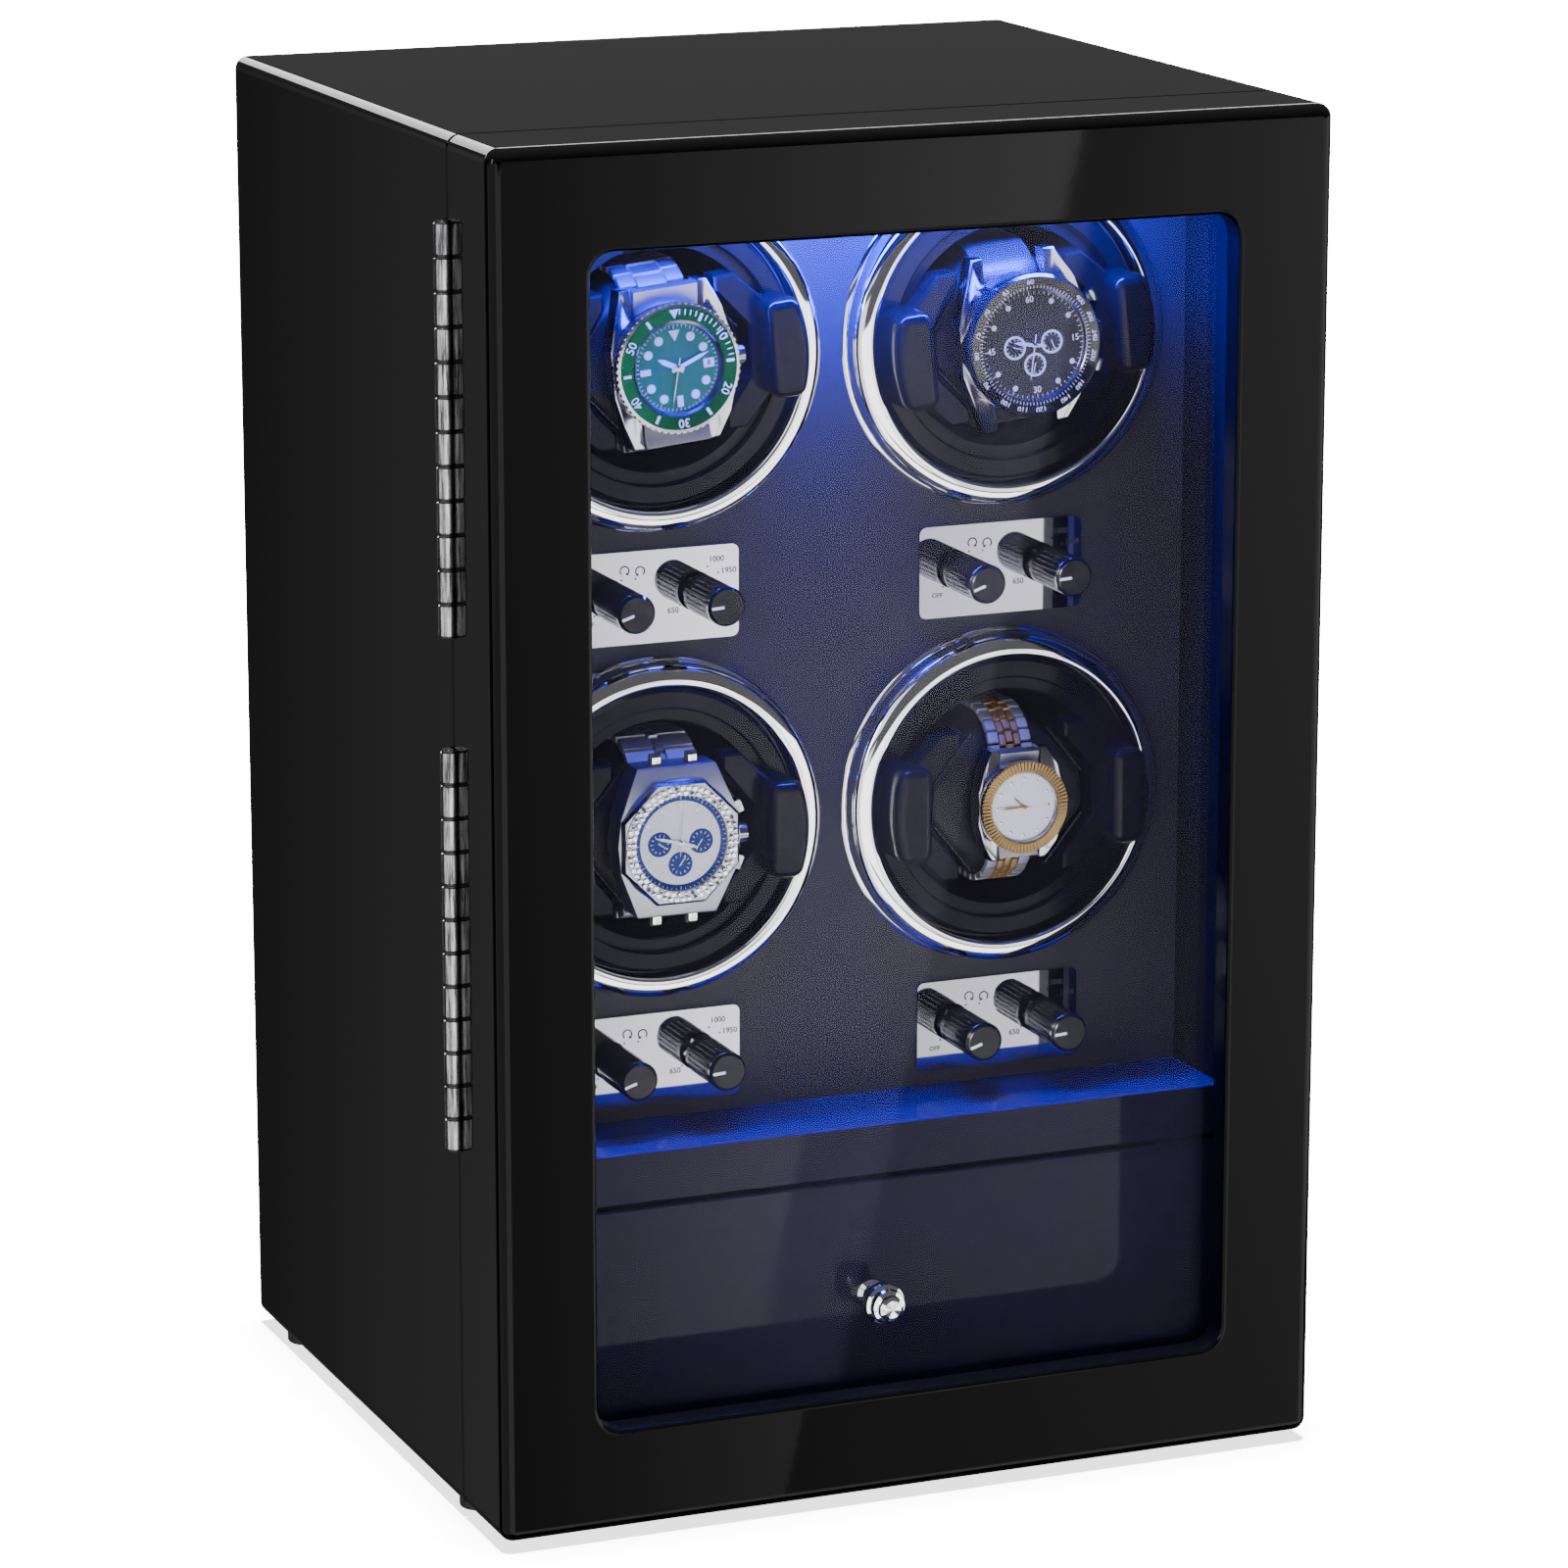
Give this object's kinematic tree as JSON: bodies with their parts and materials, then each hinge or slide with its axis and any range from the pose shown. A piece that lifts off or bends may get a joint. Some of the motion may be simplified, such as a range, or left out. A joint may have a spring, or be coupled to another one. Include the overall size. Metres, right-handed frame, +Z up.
{
  "type": "watch winder box",
  "caption": "Upright lacquered cabinet with a glazed hinged door, winding rotors that turn watches on cushions, control knobs, blue interior light and a drawer.",
  "frame": {"origin": "under the middle of the whole object, on the surface it stands on", "axes": "+Z up, the door faces -Y, the hinges are on the -X side"},
  "size_m": [0.2608, 0.2281, 0.403],
  "materials": {
    "back_board": "matte black",
    "bare_board": "satin black",
    "black_gloss": "gloss",
    "black_plastic": "fine texture",
    "board": "solder mask",
    "brass": "sintered bronze",
    "chrome": "polished",
    "cushion": "soft suede",
    "diffuser": "frosted",
    "felt": "short pile",
    "glass": "clear polished",
    "hinge_metal": "dark nickel",
    "knob_black": "semi-gloss",
    "lacquer": "high-gloss black lacquer",
    "leather": "fine grain, satin",
    "led": "lit blue",
    "magnet": "nickel",
    "motor_steel": "zinc plated",
    "rocker_black": "gloss",
    "rubber": "matte",
    "screw_steel": "satin",
    "steel_plate": "mirror polished",
    "watch_steel": "polished and brushed",
    "watch_two_tone": "steel and gold"
  },
  "bodies": {
    "cabinet": {"cabinet_shell": "lacquer", "back_panel": "back_board", "back_screws": "screw_steel", "dc_jack": "black_plastic", "switch_housing": "black_plastic", "feet": "rubber", "wall_lining": "leather", "winder_panel": "bare_board", "panel_leather": "leather", "divider_shelf": "lacquer", "led_strip": "led", "led_cover": "diffuser", "control_board": "board", "hinge_pins": "hinge_metal", "hinge_leaf_cabinet": "hinge_metal", "hinge_screws_cabinet": "screw_steel", "catch_magnets": "magnet", "bezel_rings": "chrome", "rotor_housings": "black_plastic", "rotor_bushes": "brass", "motors": "motor_steel", "control_plates": "steel_plate", "rotary_switches": "black_plastic", "switch_nuts": "chrome"},
    "door": {"door_frame": "lacquer", "door_glass": "glass", "glass_retainer": "black_plastic", "hinge_leaf_door": "hinge_metal", "hinge_screws_door": "screw_steel", "strike_plates": "magnet"},
    "drawer": {"drawer_front": "lacquer", "drawer_tray": "bare_board", "drawer_lining": "felt", "drawer_knob": "chrome", "drawer_knob_screw": "screw_steel"},
    "rocker": {"switch_rocker": "rocker_black"},
    "rotor_1": {"rotor_cup_1": "black_gloss", "rotor_shaft_1": "motor_steel"},
    "held_watch_1": {"cushion_1": "cushion", "watch_1": "watch_steel"},
    "rotor_2": {"rotor_cup_2": "black_gloss", "rotor_shaft_2": "motor_steel"},
    "held_watch_2": {"cushion_2": "cushion", "watch_2": "watch_steel"},
    "rotor_3": {"rotor_cup_3": "black_gloss", "rotor_shaft_3": "motor_steel"},
    "held_watch_3": {"cushion_3": "cushion", "watch_3": "watch_steel"},
    "rotor_4": {"rotor_cup_4": "black_gloss", "rotor_shaft_4": "motor_steel"},
    "held_watch_4": {"cushion_4": "cushion", "watch_4": "watch_two_tone"},
    "knob_1": {"control_knob_1": "knob_black"},
    "knob_2": {"control_knob_2": "knob_black"},
    "knob_3": {"control_knob_3": "knob_black"},
    "knob_4": {"control_knob_4": "knob_black"},
    "knob_5": {"control_knob_5": "knob_black"},
    "knob_6": {"control_knob_6": "knob_black"},
    "knob_7": {"control_knob_7": "knob_black"},
    "knob_8": {"control_knob_8": "knob_black"}
  },
  "joints": [
    {"name": "door_hinge", "type": "hinge", "parent": "cabinet", "child": "door", "pos_m": [-0.1278, -0.08, 0.203], "axis": [0, 0, -1], "range_deg": [0, 170]},
    {"name": "drawer_slide", "type": "slide", "parent": "cabinet", "child": "drawer", "axis": [0, -1, 0], "range_m": [0, 0.12]},
    {"name": "rocker_tilt", "type": "hinge", "parent": "cabinet", "child": "rocker", "pos_m": [0.0619, 0.1085, 0.148], "axis": [1, 0, 0], "range_deg": [-16, 0]},
    {"name": "rotor_1_turn", "type": "hinge", "parent": "cabinet", "child": "rotor_1", "pos_m": [-0.0531, -0.02, 0.331], "axis": [0, 1, 0], "continuous": true},
    {"name": "cushion_1_slide", "type": "slide", "parent": "rotor_1", "child": "held_watch_1", "axis": [0, -1, 0], "range_m": [0, 0.025]},
    {"name": "rotor_2_turn", "type": "hinge", "parent": "cabinet", "child": "rotor_2", "pos_m": [0.0569, -0.02, 0.331], "axis": [0, 1, 0], "continuous": true},
    {"name": "cushion_2_slide", "type": "slide", "parent": "rotor_2", "child": "held_watch_2", "axis": [0, -1, 0], "range_m": [0, 0.025]},
    {"name": "rotor_3_turn", "type": "hinge", "parent": "cabinet", "child": "rotor_3", "pos_m": [-0.0531, -0.02, 0.192], "axis": [0, 1, 0], "continuous": true},
    {"name": "cushion_3_slide", "type": "slide", "parent": "rotor_3", "child": "held_watch_3", "axis": [0, -1, 0], "range_m": [0, 0.025]},
    {"name": "rotor_4_turn", "type": "hinge", "parent": "cabinet", "child": "rotor_4", "pos_m": [0.0569, -0.02, 0.192], "axis": [0, 1, 0], "continuous": true},
    {"name": "cushion_4_slide", "type": "slide", "parent": "rotor_4", "child": "held_watch_4", "axis": [0, -1, 0], "range_m": [0, 0.025]},
    {"name": "knob_1_turn", "type": "hinge", "parent": "cabinet", "child": "knob_1", "pos_m": [-0.067, -0.054, 0.261], "axis": [0, 1, 0], "range_deg": [0, 150]},
    {"name": "knob_2_turn", "type": "hinge", "parent": "cabinet", "child": "knob_2", "pos_m": [-0.0392, -0.054, 0.261], "axis": [0, 1, 0], "range_deg": [0, 195]},
    {"name": "knob_3_turn", "type": "hinge", "parent": "cabinet", "child": "knob_3", "pos_m": [0.043, -0.054, 0.261], "axis": [0, 1, 0], "range_deg": [0, 150]},
    {"name": "knob_4_turn", "type": "hinge", "parent": "cabinet", "child": "knob_4", "pos_m": [0.0708, -0.054, 0.261], "axis": [0, 1, 0], "range_deg": [0, 195]},
    {"name": "knob_5_turn", "type": "hinge", "parent": "cabinet", "child": "knob_5", "pos_m": [-0.067, -0.054, 0.122], "axis": [0, 1, 0], "range_deg": [0, 150]},
    {"name": "knob_6_turn", "type": "hinge", "parent": "cabinet", "child": "knob_6", "pos_m": [-0.0392, -0.054, 0.122], "axis": [0, 1, 0], "range_deg": [0, 195]},
    {"name": "knob_7_turn", "type": "hinge", "parent": "cabinet", "child": "knob_7", "pos_m": [0.043, -0.054, 0.122], "axis": [0, 1, 0], "range_deg": [0, 150]},
    {"name": "knob_8_turn", "type": "hinge", "parent": "cabinet", "child": "knob_8", "pos_m": [0.0708, -0.054, 0.122], "axis": [0, 1, 0], "range_deg": [0, 195]}
  ],
  "couplings": [
    {"joint": "drawer_slide", "follows": "door_hinge", "m_per_rad": 0.0404}
  ]
}
